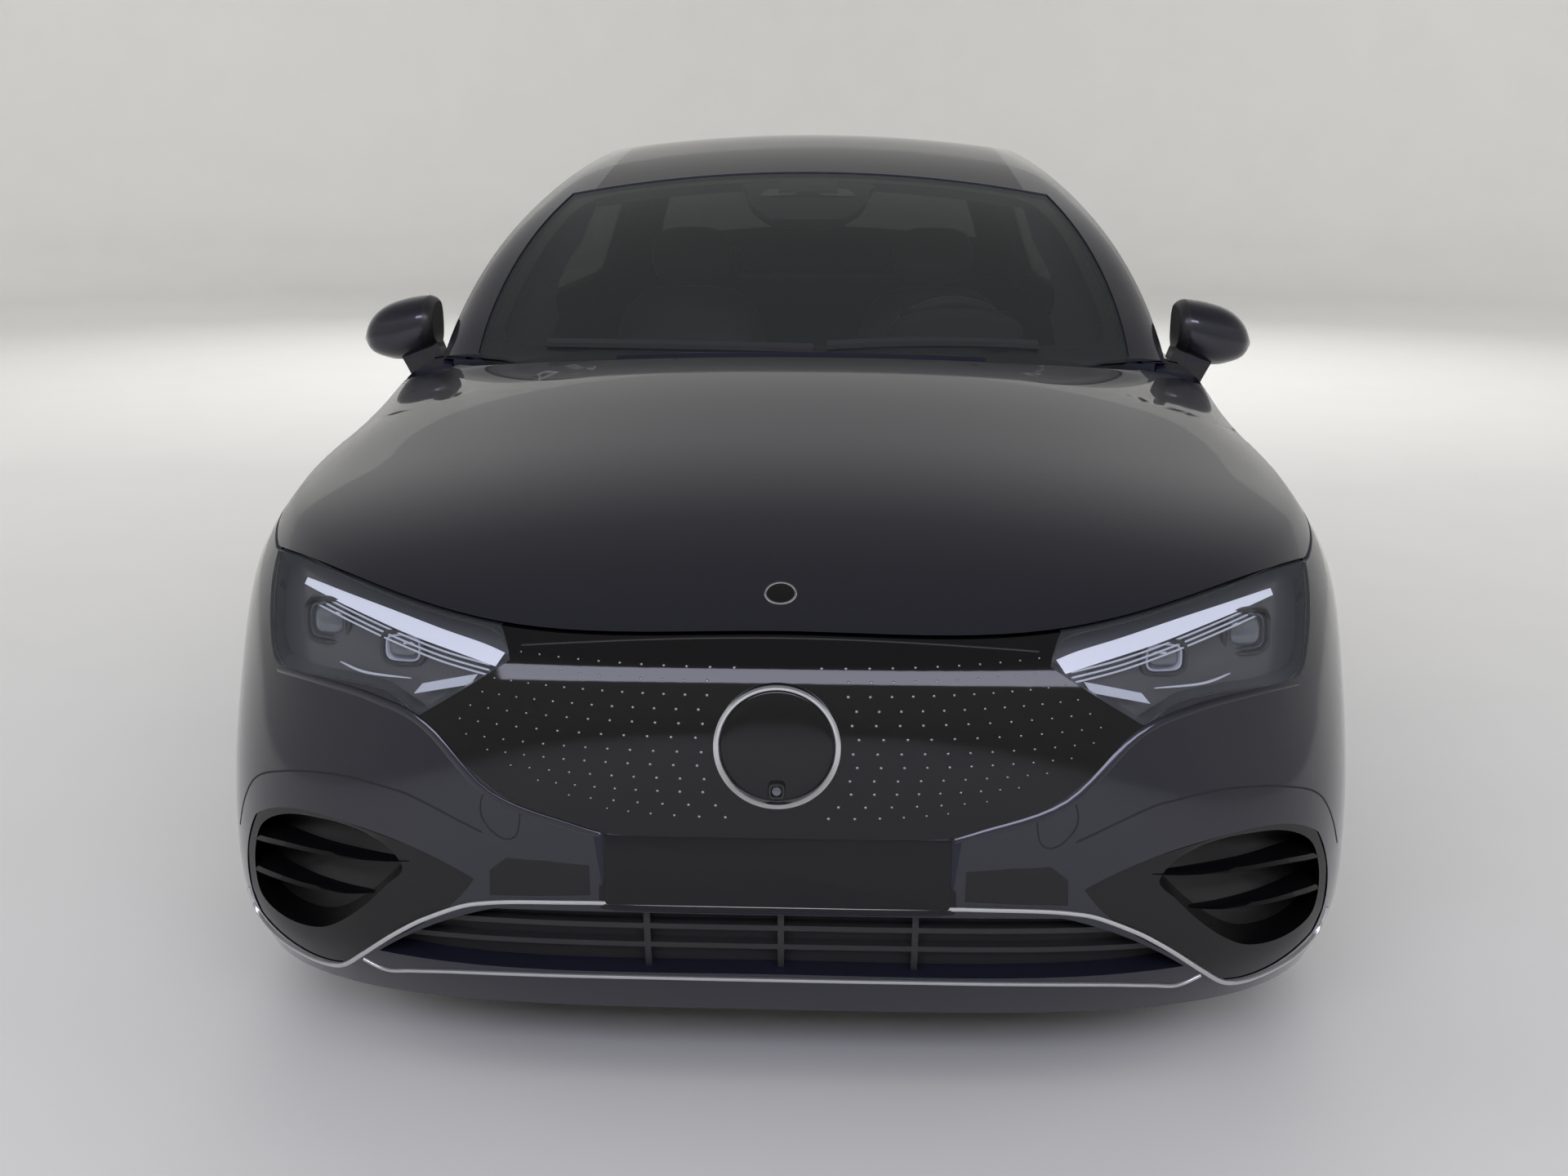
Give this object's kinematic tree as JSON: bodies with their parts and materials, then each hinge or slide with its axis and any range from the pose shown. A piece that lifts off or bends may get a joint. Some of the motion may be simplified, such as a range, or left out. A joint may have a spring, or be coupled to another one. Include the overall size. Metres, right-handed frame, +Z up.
{
  "type": "electric executive saloon car",
  "caption": "Electric four-door saloon with arched roofline, closed black front panel between slim lamps, opening doors, bonnet and boot lid, steered front wheels.",
  "frame": {"origin": "on the ground below the middle of the car's bounding box", "axes": "+Z up, -Y towards the nose, +Y towards the tail, +X towards the car's left side"},
  "size_m": [2.104, 4.9454, 1.5105],
  "materials": {
    "body_paint": "gloss metallic",
    "black_trim": "gloss",
    "matte_trim": "matte",
    "window_glass": "clear, lightly tinted",
    "lamp_glass": "clear",
    "red_lamp": "gloss",
    "chassis_paint": "satin",
    "battery_case": "satin",
    "cast_alloy": "cast",
    "rim_alloy": "gloss",
    "disc_iron": "machined",
    "tyre_rubber": "matte",
    "seat_leather": "soft"
  },
  "bodies": {
    "body": {"body_shell": "body_paint", "windscreen": "window_glass", "rear_window": "window_glass", "roof_panel": "black_trim", "front_bumper": "body_paint", "grille_panel": "black_trim", "headlamps": "lamp_glass", "rear_bumper": "body_paint", "lower_grille": "matte_trim", "side_intakes": "black_trim", "front_beam": "chassis_paint", "bay_cover": "matte_trim", "battery_pack": "battery_case", "drive_unit": "cast_alloy", "tail_lamps": "red_lamp", "front_suspension": "chassis_paint", "rear_suspension": "chassis_paint", "dashboard": "matte_trim", "centre_console": "matte_trim", "front_seats": "seat_leather", "rear_bench": "seat_leather", "inner_mirror": "black_trim", "wipers": "matte_trim", "number_plates": "black_trim"},
    "bonnet": {"bonnet": "body_paint"},
    "boot_lid": {"boot_lid": "body_paint", "lid_lamp_band": "red_lamp"},
    "front_door_left": {"front_door_left": "body_paint", "front_door_glass_left": "window_glass", "mirror_left": "body_paint"},
    "rear_door_left": {"rear_door_left": "body_paint", "rear_door_glass_left": "window_glass"},
    "knuckle_left": {"knuckle_left": "cast_alloy"},
    "front_wheel_left": {"tyre_front_left": "tyre_rubber", "rim_front_left": "rim_alloy", "brake_disc_front_left": "disc_iron"},
    "rear_wheel_left": {"tyre_rear_left": "tyre_rubber", "rim_rear_left": "rim_alloy", "brake_disc_rear_left": "disc_iron"},
    "front_door_right": {"front_door_right": "body_paint", "front_door_glass_right": "window_glass", "mirror_right": "body_paint"},
    "rear_door_right": {"rear_door_right": "body_paint", "rear_door_glass_right": "window_glass"},
    "knuckle_right": {"knuckle_right": "cast_alloy"},
    "front_wheel_right": {"tyre_front_right": "tyre_rubber", "rim_front_right": "rim_alloy", "brake_disc_front_right": "disc_iron"},
    "rear_wheel_right": {"tyre_rear_right": "tyre_rubber", "rim_rear_right": "rim_alloy", "brake_disc_rear_right": "disc_iron"},
    "steering_wheel": {"steering_wheel": "black_trim"}
  },
  "joints": [
    {"name": "bonnet_hinge", "type": "hinge", "parent": "body", "child": "bonnet", "pos_m": [0, -1.12274, 0.94496], "axis": [-1, 0, 0], "range_deg": [0, 45]},
    {"name": "boot_lid_hinge", "type": "hinge", "parent": "body", "child": "boot_lid", "pos_m": [0, 1.87453, 1.15771], "axis": [1, 0, 0], "range_deg": [0, 75]},
    {"name": "front_door_hinge_left", "type": "hinge", "parent": "body", "child": "front_door_left", "pos_m": [0.908, -1.19807, 0.58], "axis": [0, 0, -1], "range_deg": [0, 70]},
    {"name": "rear_door_hinge_left", "type": "hinge", "parent": "body", "child": "rear_door_left", "pos_m": [0.908, -0.07088, 0.58], "axis": [0, 0, -1], "range_deg": [0, 70]},
    {"name": "front_door_hinge_right", "type": "hinge", "parent": "body", "child": "front_door_right", "pos_m": [-0.908, -1.19807, 0.58], "axis": [0, 0, 1], "range_deg": [0, 70]},
    {"name": "rear_door_hinge_right", "type": "hinge", "parent": "body", "child": "rear_door_right", "pos_m": [-0.908, -0.07088, 0.58], "axis": [0, 0, 1], "range_deg": [0, 70]},
    {"name": "steer_left", "type": "hinge", "parent": "body", "child": "knuckle_left", "pos_m": [0.75762, -1.615, 0.356], "axis": [0, 0, 1], "range_deg": [-35, 35]},
    {"name": "front_wheel_spin_left", "type": "hinge", "parent": "knuckle_left", "child": "front_wheel_left", "pos_m": [0.817, -1.615, 0.356], "axis": [1, 0, 0], "continuous": true},
    {"name": "rear_wheel_spin_left", "type": "hinge", "parent": "body", "child": "rear_wheel_left", "pos_m": [0.823, 1.505, 0.356], "axis": [1, 0, 0], "continuous": true},
    {"name": "steer_right", "type": "hinge", "parent": "body", "child": "knuckle_right", "pos_m": [-0.75762, -1.615, 0.356], "axis": [0, 0, 1], "range_deg": [-35, 35]},
    {"name": "front_wheel_spin_right", "type": "hinge", "parent": "knuckle_right", "child": "front_wheel_right", "pos_m": [-0.817, -1.615, 0.356], "axis": [1, 0, 0], "continuous": true},
    {"name": "rear_wheel_spin_right", "type": "hinge", "parent": "body", "child": "rear_wheel_right", "pos_m": [-0.823, 1.505, 0.356], "axis": [1, 0, 0], "continuous": true},
    {"name": "steering_wheel_turn", "type": "hinge", "parent": "body", "child": "steering_wheel", "pos_m": [0.37, -0.54406, 0.92865], "axis": [0, 0.9063, 0.4226], "range_deg": [-430, 430]}
  ],
  "couplings": [
    {"joint": "steer_right", "follows": "steer_left", "ratio": 1},
    {"joint": "steering_wheel_turn", "follows": "steer_left", "ratio": 12}
  ]
}
